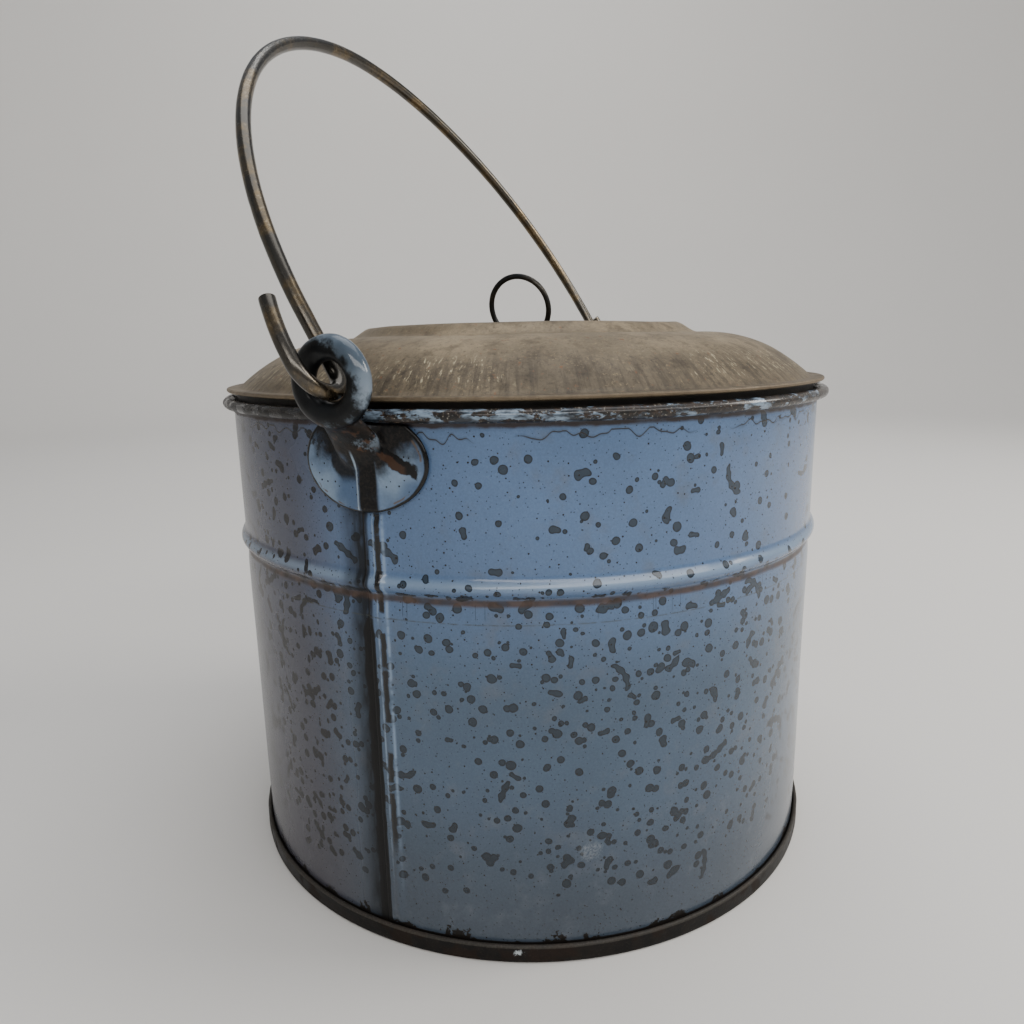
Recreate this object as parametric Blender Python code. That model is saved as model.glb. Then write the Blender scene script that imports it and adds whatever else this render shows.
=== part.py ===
"""Enamelled milk pail with a wire bail and a lift-off tin lid.

Metres, +Z up. The origin is the centre of the foot ring, on the surface the pail stands on.
The ears and the bail's pivots lie on the X axis; the side seam is under the -X ear.
"""
import math

import bmesh
import bpy
from mathutils import Matrix, Vector

MM = 0.001
GAP = 0.3 * MM  # clearance left between two pieces that touch

# Pail wall, one enamelled sheet
WALL_R = 95.0 * MM  # outer radius
WALL_T = 0.8 * MM
RIM_Z = 144.4 * MM  # height of the rolled rim's centre
BEAD_DROP = 41.8 * MM  # from the rim's centre down to the swaged bead's crest
BEAD_RISE = 1.4 * MM  # how far the bead stands out of the wall
BEAD_UPPER = 3.8 * MM  # from the crest to the top of the bead
BEAD_LOWER = 2.8 * MM  # from the crest to its sharper lower side

# Rolled rim and the wire in it
RIM_WIRE_R = 0.75 * MM
RIM_SHEET = 0.6 * MM  # sheet thinned by the roll
ROLL_SET = 0.1 * MM  # how far the roll's near side sits inside the wall's outer face
RIM_OPEN = math.radians(110)  # the roll ends this far past its outermost point

# Side seam, folded flat on the outside
SEAM_WIDTH = 6.0 * MM
SEAM_RISE = 0.9 * MM
SEAM_OFFSET = 1.9 * MM  # of the seam's middle from the ear, towards -Y

# Bottom pan and the double seam that holds it
PAN_T = 0.6 * MM
PAN_FLOOR = 5.0 * MM  # height of the pan's upper face
BAND_T = 1.3 * MM  # folded layers outside the wall
BAND_TOP = 4.0 * MM

# Ears: plate, neck and eye
EAR_T = 1.2 * MM
EAR_WIDTH = 35.0 * MM
EAR_DROP = 23.6 * MM  # from the rim's centre down to the plate's lowest point
EAR_HEIGHT = 25.0 * MM  # of the whole oval, whose top is cut off under the rim
EYE_HOLE_R = 4.6 * MM
EYE_BAR = 6.0 * MM  # thickness of the eye seen along its hole
EYE_DEPTH = 5.2 * MM  # thickness of the eye along its hole
NECK_ROOT_WIDTH = 10.8 * MM
NECK_SHOULDER_WIDTH = 14.4 * MM
NECK_WIDTH = 12.0 * MM  # beside the rim
NECK_TOP_WIDTH = 8.4 * MM
NECK_SHOULDER_T = 2.9 * MM
NECK_T = 3.6 * MM
NECK_ROOT_DROP = 12.0 * MM  # below the rim's underside
NECK_SHOULDER_DROP = 5.0 * MM
NECK_TO_RIM = 1.5 * MM  # clearance between the neck and the rim
NECK_BEND_RISE = 0.6 * MM  # of its outermost bend above the rim's underside

# Bail
BAIL_WIRE_R = 1.9 * MM
PIVOT_ABOVE_RIM = 6.0 * MM  # from the rim roll's centre to the bail's axis
BAIL_TO_RIM = 0.7 * MM  # clearance between the bail's arms and the rim
BAIL_STRAIGHT = 20.0 * MM  # from the axis up to the start of the bow
BAIL_BOW = 104.6 * MM  # rise of the bow
BOW_POWER = 1.9  # 2 makes the bow half an ellipse, and less makes it more pointed
HOOK_TO_EYE = 3.2 * MM  # clearance between the eye and the hook's upright end
HOOK_HEIGHT = 23.7 * MM
HOOK_CLOSE = 2.7 * MM  # how far the hook's end leans back to the eye
BAIL_LEAN = math.radians(30)  # towards +Y

# Lid
LID_T = 0.6 * MM
LID_PROUD = 1.65 * MM  # from the rim up to the underside of the lid's hem
HEM_T = 1.1 * MM
HEM_INSET = 1.5 * MM  # from the rim's outermost point in to the lid's edge
HEM_TO_COLLAR = 0.4 * MM  # clearance between the hem's folded edge and the collar
FLANGE_WIDTH = 3.9 * MM
DOME_RISE = 13.8 * MM
DOME_POWER = 2.3
SHOULDER_R = 58.5 * MM  # where the dome meets the step
PLATEAU_R = 51.0 * MM
PLATEAU_RISE = 3.4 * MM
DIMPLE_R = 17.0 * MM  # middle of the dimple's sloping edge
DIMPLE_DEPTH = 3.0 * MM
DIMPLE_SLOPE = 3.0 * MM
COLLAR_T = 0.6 * MM
COLLAR_DEPTH = 12.0 * MM  # below the lid's hem
COLLAR_PLAY = 0.5 * MM  # between the collar and the wall, all round

# Ring handle and its strap
RING_WIRE_R = 0.9 * MM
RING_R = 10.4 * MM  # centreline
RING_CENTRE_RISE = 7.9 * MM  # of the ring's centre above its straight foot
RING_CORNER_R = 3.0 * MM
RING_LEAN = math.radians(15)  # towards -X
STRAP_T = 0.5 * MM
STRAP_WIDTH = 6.0 * MM
STRAP_LENGTH = 18.0 * MM

# Fineness
TURNS = 56  # facets round the pail and the lid
SMALL_TURNS = 20  # facets round an eye
WIRE_SIDES = 8

# Places that follow from the dimensions above
RIM_BORE = RIM_WIRE_R + GAP
RIM_ROLL_R = RIM_BORE + RIM_SHEET
RIM_OUTER_R = WALL_R + 2 * RIM_ROLL_R - ROLL_SET
RIM_R = RIM_OUTER_R - RIM_ROLL_R
RIM_TOP = RIM_Z + RIM_ROLL_R
RIM_BOTTOM = RIM_Z - RIM_ROLL_R
WALL_FOOT = PAN_T + GAP
BEAD_Z = RIM_Z - BEAD_DROP
EAR_BOTTOM = RIM_Z - EAR_DROP
PIVOT_Z = RIM_Z + PIVOT_ABOVE_RIM
BAIL_X = RIM_OUTER_R + BAIL_TO_RIM + BAIL_WIRE_R
EYE_X = BAIL_X + BAIL_WIRE_R + GAP + EYE_DEPTH / 2
EYE_Z = PIVOT_Z + EYE_HOLE_R - BAIL_WIRE_R - GAP
HOOK_REACH = EYE_DEPTH / 2 + HOOK_TO_EYE + BAIL_WIRE_R  # from the eye's middle
HEM_Z = RIM_TOP + LID_PROUD
FLANGE_TOP = HEM_Z + HEM_T
LID_R = RIM_OUTER_R - HEM_INSET
DOME_R = LID_R - FLANGE_WIDTH
COLLAR_R = WALL_R - WALL_T - COLLAR_PLAY
HEM_INNER_R = COLLAR_R + HEM_TO_COLLAR
SHOULDER_Z = FLANGE_TOP + DOME_RISE
PLATEAU_Z = SHOULDER_Z + PLATEAU_RISE
DIMPLE_Z = PLATEAU_Z - DIMPLE_DEPTH
RING_PIVOT_Z = DIMPLE_Z + GAP + RING_WIRE_R


def clear_scene():
    for obj in list(bpy.data.objects):
        bpy.data.objects.remove(obj, do_unlink=True)


def material(name, color, roughness, metallic):
    finish = bpy.data.materials.new(name)
    finish.use_nodes = True
    shader = finish.node_tree.nodes["Principled BSDF"]
    shader.inputs["Base Color"].default_value = (*color, 1.0)
    shader.inputs["Roughness"].default_value = roughness
    shader.inputs["Metallic"].default_value = metallic
    return finish


def add_object(name, data, finish=None, place=Matrix.Identity(4)):
    obj = bpy.data.objects.new(name, data)
    bpy.context.scene.collection.objects.link(obj)
    obj.matrix_world = place
    if finish:
        data.materials.append(finish)
    return obj


def add_mesh(name, mesh_bm, finish=None, place=Matrix.Identity(4)):
    bmesh.ops.recalc_face_normals(mesh_bm, faces=mesh_bm.faces)
    mesh = bpy.data.meshes.new(name)
    mesh_bm.to_mesh(mesh)
    mesh_bm.free()
    mesh.shade_smooth()
    mesh.set_sharp_from_angle(angle=math.radians(40))
    return add_object(name, mesh, finish, place)


def turned(points, closed, axis=(0, 0, 1), centre=(0, 0, 0), steps=TURNS):
    """A profile turned once round an axis. An open profile starts and ends on the axis."""
    bm = bmesh.new()
    verts = [bm.verts.new(point) for point in points]
    edges = [bm.edges.new(pair) for pair in zip(verts, verts[1:])]
    if closed:
        edges.append(bm.edges.new((verts[-1], verts[0])))
    bmesh.ops.spin(
        bm, geom=verts + edges, axis=axis, cent=centre, angle=math.tau, steps=steps, use_merge=True
    )
    bmesh.ops.remove_doubles(bm, verts=bm.verts, dist=GAP / 1000)
    return bm


def arc(centre, radius, start, end, steps, squash=1.0):
    """Points of an arc in the (radius, height) plane, from one angle to another."""
    turns = [start + (end - start) * step / steps for step in range(steps + 1)]
    return [(centre[0] + radius * squash * math.cos(t), centre[1] + radius * math.sin(t)) for t in turns]


def in_xz(profile):
    return [(x, 0.0, z) for x, z in profile]


def smooth_step(t):
    return t * t * (3 - 2 * t)


def add_cutter(name, mesh_bm):
    cutter = add_mesh(name, mesh_bm)
    cutter.hide_render = True
    cutter.display_type = "WIRE"
    return cutter


def combine(obj, cutter, operation):
    step = obj.modifiers.new(cutter.name, "BOOLEAN")
    step.operation = operation
    step.object = cutter
    step.solver = "EXACT"


def bead(radius, steps=6):
    """The bead on a wall face of this radius, from bottom to top."""
    points = []
    for step in range(steps + 1):
        t = 2 * step / steps - 1
        reach = BEAD_UPPER if t > 0 else BEAD_LOWER
        points.append((radius + BEAD_RISE * math.cos(t * math.pi / 2) ** 2, BEAD_Z + t * reach))
    return points


def seam_angle():
    return math.pi + SEAM_OFFSET / WALL_R


def make_seam_strip():
    half = SEAM_WIDTH / WALL_R / 2
    outer = arc((0, 0), WALL_R + SEAM_RISE, seam_angle() - half, seam_angle() + half, 4)
    inner = arc((0, 0), WALL_R - WALL_T / 2, seam_angle() + half, seam_angle() - half, 2)
    bm = bmesh.new()
    bottom = BAND_TOP + GAP
    section = bm.faces.new([bm.verts.new((x, y, bottom)) for x, y in outer + inner])
    grown = bmesh.ops.extrude_face_region(bm, geom=[section])["geom"]
    rise = Vector((0, 0, EAR_BOTTOM - GAP - bottom))
    bmesh.ops.translate(bm, vec=rise, verts=[v for v in grown if isinstance(v, bmesh.types.BMVert)])
    return add_cutter("seam_strip", bm)


def make_wall(finish):
    """The wall, its bead and the roll round the rim wire; the roll stays open at the bottom."""
    centre = (RIM_R, RIM_Z)
    inner_r = WALL_R - WALL_T
    bore = arc(centre, RIM_BORE, math.pi, -RIM_OPEN, 8)
    roll = arc(centre, RIM_ROLL_R, -RIM_OPEN, math.pi, 9)
    outside = [(WALL_R, WALL_FOOT)] + bead(WALL_R) + [(WALL_R, RIM_BOTTOM)]
    inside = [(inner_r, RIM_BOTTOM)] + bead(inner_r)[::-1] + [(inner_r, WALL_FOOT)]
    wall = add_mesh("body_wall", turned(in_xz(outside + bore + roll + inside), closed=True), finish)
    combine(wall, make_seam_strip(), "UNION")


def make_bottom_pan(finish):
    """The pan's floor is raised; its edge goes down inside the wall, under it and up outside."""
    inner_face = WALL_R - WALL_T - GAP
    chuck = inner_face - PAN_T
    slot = WALL_R + GAP
    outer = slot + BAND_T
    corner = PAN_T / 2
    profile = [(0, PAN_FLOOR), (inner_face, PAN_FLOOR), (inner_face, PAN_T), (slot, PAN_T)]
    profile += [(slot, BAND_TOP - corner), (slot + corner, BAND_TOP), (outer - corner, BAND_TOP)]
    profile += [(outer, BAND_TOP - corner), (outer, corner), (outer - corner, 0), (chuck, 0)]
    profile += [(chuck, PAN_FLOOR - PAN_T), (0, PAN_FLOOR - PAN_T)]
    add_mesh("bottom_pan", turned(in_xz(profile), closed=False), finish)


def make_rim_wire(finish):
    section = arc((RIM_R, RIM_Z), RIM_WIRE_R, 0, math.tau, WIRE_SIDES)[:-1]
    add_mesh("rim_wire", turned(in_xz(section), closed=True), finish)


def make_neck(side):
    """A bar that climbs out of the plate, clears the rim and runs into the bottom of the eye."""
    root = Vector((WALL_R + 2 * GAP + EAR_T / 2, 0, RIM_BOTTOM - NECK_ROOT_DROP))
    shoulder = Vector((RIM_OUTER_R - NECK_T / 4, 0, RIM_BOTTOM - NECK_SHOULDER_DROP))
    bend = Vector((RIM_OUTER_R + NECK_TO_RIM + NECK_T / 2, 0, RIM_BOTTOM + NECK_BEND_RISE))
    end = Vector((EYE_X, 0, EYE_Z - EYE_HOLE_R - EYE_BAR / 2))
    path = [root, shoulder, bend, end]
    widths = [NECK_ROOT_WIDTH, NECK_SHOULDER_WIDTH, NECK_WIDTH, NECK_TOP_WIDTH]
    depths = [EAR_T, NECK_SHOULDER_T, NECK_T, NECK_T]
    bm = bmesh.new()
    rings = []
    for i, (point, width, depth) in enumerate(zip(path, widths, depths)):
        along = (path[min(i + 1, 3)] - path[max(i - 1, 0)]).normalized()
        across = Vector((along.z, 0, -along.x))
        frame = Matrix((across, Vector((0, 1, 0)), along)).transposed().to_4x4()
        place = Matrix.Translation(point) @ frame @ Matrix.Diagonal((depth / 2, width / 2, 1, 1))
        made = bmesh.ops.create_circle(bm, cap_ends=i in (0, 3), radius=1, segments=14, matrix=place)
        rings.append([e for e in bm.edges if all(v in made["verts"] for v in e.verts)])
    for lower, upper in zip(rings, rings[1:]):
        bmesh.ops.bridge_loops(bm, edges=lower + upper)
    bmesh.ops.scale(bm, vec=(side, 1, 1), verts=bm.verts)
    return bm


def make_ear(name, side, finish):
    """An oval plate on the wall, joined by its neck to the eye. side is -1 or 1 along X."""
    inner_r = WALL_R + GAP
    top = RIM_BOTTOM - GAP
    low = EAR_BOTTOM - EAR_T
    shell = [(inner_r, low), (inner_r + EAR_T, low), (inner_r + EAR_T, top), (inner_r, top)]
    ear = add_mesh(name, turned(in_xz(shell), closed=True), finish)

    oval = bmesh.new()
    place = Matrix.Translation((side * WALL_R, 0, EAR_BOTTOM + EAR_HEIGHT / 2))
    place = place @ Matrix.Rotation(math.pi / 2, 4, "Y")
    place = place @ Matrix.Diagonal((EAR_HEIGHT / 2, EAR_WIDTH / 2, 1, 1))
    bmesh.ops.create_cone(
        oval, cap_ends=True, segments=28, radius1=1, radius2=1, depth=WALL_R / 2, matrix=place
    )
    combine(ear, add_cutter(name + "_oval", oval), "INTERSECT")
    combine(ear, add_cutter(name + "_neck", make_neck(side)), "UNION")

    centre = (side * EYE_X, 0, EYE_Z)
    bar_centre = (EYE_X, EYE_Z + EYE_HOLE_R + EYE_BAR / 2)
    bar = arc(bar_centre, EYE_BAR / 2, 0, math.tau, 10, EYE_DEPTH / EYE_BAR)
    bar = [(side * x, 0, z) for x, z in bar[:-1]]
    eye = turned(bar, closed=True, axis=(1, 0, 0), centre=centre, steps=SMALL_TURNS)
    combine(ear, add_cutter(name + "_eye", eye), "UNION")


def bail_half():
    """Centreline from the top of the bow to the hook's end: (distance from the middle, height)."""
    bow = []
    for step in range(23):
        share = math.sin(math.pi / 2 * step / 22)
        height = max(1 - share**BOW_POWER, 0) ** 0.5
        bow.append((BAIL_X * share, BAIL_STRAIGHT + BAIL_BOW * height))
    turn_in = EYE_X - BAIL_X
    throat = arc((EYE_X, turn_in), turn_in, math.pi, 1.5 * math.pi, 6)
    hook = arc((EYE_X, HOOK_REACH), HOOK_REACH, -math.pi / 2, 0, 6)
    end = []
    for step in range(1, 5):
        t = step / 4
        height = HOOK_REACH + (HOOK_HEIGHT - HOOK_REACH) * t
        end.append((EYE_X + HOOK_REACH - HOOK_CLOSE * t**2, height))
    return bow + throat + hook[1:] + end


def wire(name, points, wire_r, cyclic, place, finish):
    curve = bpy.data.curves.new(name, "CURVE")
    curve.dimensions = "3D"
    curve.bevel_depth = wire_r
    curve.bevel_resolution = WIRE_SIDES // 2 - 2
    curve.use_fill_caps = True
    spline = curve.splines.new("POLY")
    spline.points.add(len(points) - 1)
    for target, point in zip(spline.points, points):
        target.co = (*point, 1)
    spline.use_cyclic_u = cyclic
    add_object(name, curve, finish, place)


def make_bail(finish):
    half = bail_half()
    line = [(-x, 0, z) for x, z in half[::-1]] + [(x, 0, z) for x, z in half[1:]]
    place = Matrix.Translation((0, 0, PIVOT_Z)) @ Matrix.Rotation(-BAIL_LEAN, 4, "X")
    wire("bail", line, BAIL_WIRE_R, False, place, finish)


def lid_top():
    """The lid's upper face from its centre to the hem: (radius, height)."""
    points = [(0, DIMPLE_Z)]
    for step in range(4):
        t = step / 3
        points.append((DIMPLE_R + (t - 0.5) * DIMPLE_SLOPE, DIMPLE_Z + DIMPLE_DEPTH * smooth_step(t)))
    for step in range(6):
        t = step / 5
        height = PLATEAU_Z - PLATEAU_RISE * smooth_step(t)
        points.append((PLATEAU_R + (SHOULDER_R - PLATEAU_R) * t, height))
    for step in range(1, 9):
        t = step / 8
        points.append((SHOULDER_R + (DOME_R - SHOULDER_R) * t, SHOULDER_Z - DOME_RISE * t**DOME_POWER))
    return points


def make_lid_cover(finish):
    top = lid_top()
    under = [(radius, height - LID_T) for radius, height in top]
    fold_r = HEM_T / 2
    hem = [(LID_R - fold_r, FLANGE_TOP)]
    hem += arc((LID_R - fold_r, HEM_Z + fold_r), fold_r, 0, -math.pi / 2, 2)
    fold = [(HEM_INNER_R, HEM_Z), (HEM_INNER_R, FLANGE_TOP - LID_T)]
    add_mesh("lid_cover", turned(in_xz(top + hem + fold + under[::-1]), closed=False), finish)


def make_lid_collar(finish):
    """The strip under the lid that slips into the mouth of the pail."""
    inner = COLLAR_R - COLLAR_T
    lip = COLLAR_R + HEM_TO_COLLAR / 2
    top = FLANGE_TOP - LID_T - GAP
    low = HEM_Z - COLLAR_DEPTH
    foot = [(inner, low), (COLLAR_R - COLLAR_T / 2, low), (COLLAR_R, low + COLLAR_T)]
    head = [(COLLAR_R, top - COLLAR_T), (lip, top - COLLAR_T), (lip, top), (inner, top)]
    add_mesh("lid_collar", turned(in_xz(foot + head), closed=True), finish)


def ring_line():
    """Closed centreline of the ring in its own plane: a circle whose foot is straight."""
    reach = RING_R - RING_CORNER_R
    drop = RING_CENTRE_RISE - RING_CORNER_R
    corner_y = math.sqrt(reach**2 - drop**2)
    slope = -math.atan2(drop, corner_y)
    big = arc((0, RING_CENTRE_RISE), RING_R, slope, math.pi - slope, 26)
    left = arc((-corner_y, RING_CORNER_R), RING_CORNER_R, math.pi - slope, 1.5 * math.pi, 4)
    right = arc((corner_y, RING_CORNER_R), RING_CORNER_R, -math.pi / 2, slope, 4)
    return big + left[1:] + right[:-1]


def make_ring_handle(finish):
    line = [(0, y, z) for y, z in ring_line()]
    place = Matrix.Translation((0, 0, RING_PIVOT_Z)) @ Matrix.Rotation(-RING_LEAN, 4, "Y")
    wire("ring_handle", line, RING_WIRE_R, True, place, finish)


def make_ring_strap(finish):
    """A tin strip soldered down at both ends, arched over the ring's straight foot."""
    bore = RING_WIRE_R + GAP
    low = DIMPLE_Z + GAP
    end = STRAP_LENGTH / 2
    over = arc((0, RING_PIVOT_Z), bore + STRAP_T, math.pi, 0, 8)
    under = arc((0, RING_PIVOT_Z), bore, 0, math.pi, 8)
    outline = [(-end, low), (-end, low + STRAP_T), (-bore - STRAP_T, low + STRAP_T)] + over
    outline += [(bore + STRAP_T, low + STRAP_T), (end, low + STRAP_T), (end, low), (bore, low)] + under
    outline += [(-bore, low)]
    bm = bmesh.new()
    section = bm.faces.new([bm.verts.new((x, -STRAP_WIDTH / 2, z)) for x, z in outline])
    grown = bmesh.ops.extrude_face_region(bm, geom=[section])["geom"]
    across = Vector((0, STRAP_WIDTH, 0))
    bmesh.ops.translate(bm, vec=across, verts=[v for v in grown if isinstance(v, bmesh.types.BMVert)])
    bmesh.ops.triangulate(bm, faces=[f for f in bm.faces if len(f.verts) > 4])
    add_mesh("ring_strap", bm, finish)


def main():
    clear_scene()
    enamel = material("blue_grey_enamel", (0.16, 0.22, 0.33), 0.25, 0.0)
    dark_enamel = material("black_enamel", (0.03, 0.035, 0.045), 0.3, 0.0)
    bail_steel = material("bail_steel", (0.12, 0.11, 0.10), 0.4, 1.0)
    tin = material("old_tin", (0.16, 0.14, 0.11), 0.5, 0.8)
    ring_steel = material("ring_steel", (0.06, 0.06, 0.06), 0.4, 1.0)
    make_wall(enamel)
    make_bottom_pan(dark_enamel)
    make_rim_wire(bail_steel)
    make_ear("ear_left", -1, dark_enamel)
    make_ear("ear_right", 1, dark_enamel)
    make_bail(bail_steel)
    make_lid_cover(tin)
    make_lid_collar(tin)
    make_ring_handle(ring_steel)
    make_ring_strap(tin)


main()
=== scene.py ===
"""Looks for the enamelled milk pail: wall, ears, bail, tin lid and ring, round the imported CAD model."""

import math

import bmesh
import bpy
from mathutils import Matrix, Vector, noise


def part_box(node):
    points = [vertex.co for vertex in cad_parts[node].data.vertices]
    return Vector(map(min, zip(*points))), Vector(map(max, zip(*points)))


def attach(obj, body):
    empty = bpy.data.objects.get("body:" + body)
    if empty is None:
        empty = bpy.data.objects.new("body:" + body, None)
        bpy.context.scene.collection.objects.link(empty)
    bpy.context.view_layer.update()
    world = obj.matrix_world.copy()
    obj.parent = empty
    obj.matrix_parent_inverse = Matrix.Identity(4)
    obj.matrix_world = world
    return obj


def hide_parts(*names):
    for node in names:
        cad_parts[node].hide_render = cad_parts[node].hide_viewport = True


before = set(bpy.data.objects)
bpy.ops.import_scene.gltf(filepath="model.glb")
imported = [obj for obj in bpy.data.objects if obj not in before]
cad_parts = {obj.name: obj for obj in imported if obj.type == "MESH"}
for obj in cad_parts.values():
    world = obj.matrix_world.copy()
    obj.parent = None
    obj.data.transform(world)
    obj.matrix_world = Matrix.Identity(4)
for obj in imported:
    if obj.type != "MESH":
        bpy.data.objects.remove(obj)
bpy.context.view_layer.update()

MM = 0.001

# Places read from the CAD model
WALL_LOW, WALL_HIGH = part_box("body_wall")
PAN_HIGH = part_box("bottom_pan")[1]
EAR_LOW, EAR_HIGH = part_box("ear_left")
LID_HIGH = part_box("lid_cover")[1]
COLLAR_LOW, COLLAR_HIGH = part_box("lid_collar")
STRAP_LOW, STRAP_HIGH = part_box("ring_strap")

# Wall, bead and rolled rim
WALL_R = 95.0 * MM
WALL_T = 0.8 * MM
RIM_ROLL_R = 1.65 * MM
RIM_BORE = 1.05 * MM
RIM_R = WALL_HIGH.y - RIM_ROLL_R
RIM_Z = WALL_HIGH.z - RIM_ROLL_R
RIM_BOTTOM = RIM_Z - RIM_ROLL_R
BEAD_Z = RIM_Z - 41.8 * MM
BEAD_RISE = 1.4 * MM
BEAD_UPPER = 3.8 * MM
BEAD_LOWER = 2.8 * MM
CREASE_Z = BEAD_Z - 8.8 * MM  # faint crease left by the swage under the bead
SEAM_OFFSET = 1.9 * MM  # from the ear's middle to the seam's
SEAM_TOP = EAR_LOW.z - 0.3 * MM

# Ears
EAR_T = 1.2 * MM
EAR_WIDTH = 35.0 * MM
EAR_HEIGHT = 25.0 * MM
EYE_R = 7.6 * MM  # middle of the eye's bar
EYE_BAR = 6.0 * MM
EYE_DEPTH = 5.2 * MM
EYE_X = EAR_LOW.x + EYE_DEPTH / 2  # of the left eye, so below zero
EYE_Z = EAR_HIGH.z - EYE_R - EYE_BAR / 2

# Bail, in its own plane
BAIL_WIRE_R = 1.9 * MM
PIVOT_Z = RIM_Z + 6.0 * MM
BAIL_X = WALL_HIGH.y + 0.7 * MM + BAIL_WIRE_R
BAIL_STRAIGHT = 20.0 * MM
BAIL_BOW = 104.6 * MM
BOW_POWER = 1.9
HOOK_REACH = 7.7 * MM
HOOK_HEIGHT = 23.7 * MM
HOOK_CLOSE = 2.7 * MM
BAIL_LEAN = math.radians(30)

# Lid
LID_T = 0.6 * MM
HEM_T = 1.1 * MM
HEM_Z = WALL_HIGH.z + 1.65 * MM
FLANGE_TOP = HEM_Z + HEM_T
LID_R = LID_HIGH.y
DOME_R = LID_R - 3.9 * MM
HEM_INNER_R = COLLAR_HIGH.y + 0.2 * MM
SHOULDER_R = 58.5 * MM
PLATEAU_R = 51.0 * MM
PLATEAU_RISE = 3.4 * MM
PLATEAU_Z = LID_HIGH.z
SHOULDER_Z = PLATEAU_Z - PLATEAU_RISE
DOME_RISE = SHOULDER_Z - FLANGE_TOP
DOME_POWER = 2.3
DIMPLE_R = 17.0 * MM
DIMPLE_DEPTH = 3.0 * MM
DIMPLE_SLOPE = 3.0 * MM
DIMPLE_Z = PLATEAU_Z - DIMPLE_DEPTH

# Ring and strap
RING_WIRE_R = 0.9 * MM
RING_R = 10.4 * MM
RING_CENTRE_RISE = 7.9 * MM
RING_CORNER_R = 3.0 * MM
RING_LEAN = math.radians(15)
RING_PIVOT_Z = DIMPLE_Z + 0.3 * MM + RING_WIRE_R

# Single marks, in mm: how far round the wall to the right of the near seam, and how high
SCUFF = (55, 31.5)
BAND_CHIP = (36, 3.2)

# Camera
CAMERA_PLACE = (-0.24645, -0.10957, 0.16024)
CAMERA_LENS = 27.03
CAMERA_HEADING = math.radians(25.02)
CAMERA_TILT = math.radians(-12.367)
CAMERA_ROLL = math.radians(-1.23)
FLOOR_GAP = 0.2 * MM  # the floor lies this far below the pail's foot


# ---------------------------------------------------------------- shader nodes

class Value:
    """A shader socket that can be used in sums. Each operator adds its Math node."""

    def __init__(self, finish, socket):
        self.finish = finish
        self.socket = socket

    def math(self, operation, *others):
        inputs = dict(enumerate((self, *others)))
        return self.finish.node("ShaderNodeMath", {"operation": operation}, inputs)

    def output(self, name):
        return Value(self.finish, self.socket.node.outputs[name])

    def __add__(self, other):
        return self.math("ADD", other)

    __radd__ = __add__

    def __sub__(self, other):
        return self.math("SUBTRACT", other)

    def __rsub__(self, other):
        return self.finish.node("ShaderNodeMath", {"operation": "SUBTRACT"}, {0: other, 1: self})

    def __mul__(self, other):
        return self.math("MULTIPLY", other)

    __rmul__ = __mul__

    def __truediv__(self, other):
        return self.math("DIVIDE", other)

    def __rtruediv__(self, other):
        return self.finish.node("ShaderNodeMath", {"operation": "DIVIDE"}, {0: other, 1: self})

    def __pow__(self, other):
        return self.math("POWER", other)

    def __abs__(self):
        return self.math("ABSOLUTE")

    def __neg__(self):
        return self * -1

    def lowest(self, other):
        return self.math("MINIMUM", other)

    def highest(self, other):
        return self.math("MAXIMUM", other)

    def above(self, level):
        return self.math("GREATER_THAN", level)

    def below(self, level):
        return self.math("LESS_THAN", level)

    def fade(self, start, end):
        """0 at start, 1 at end, with soft shoulders; start may be the larger."""
        settings = {"interpolation_type": "SMOOTHSTEP"}
        inputs = {"Value": self, "From Min": start, "From Max": end}
        return self.finish.node("ShaderNodeMapRange", settings, inputs)

    def between(self, low, high, soft):
        return self.fade(low - soft, low + soft) * self.fade(high + soft, high - soft)


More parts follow.
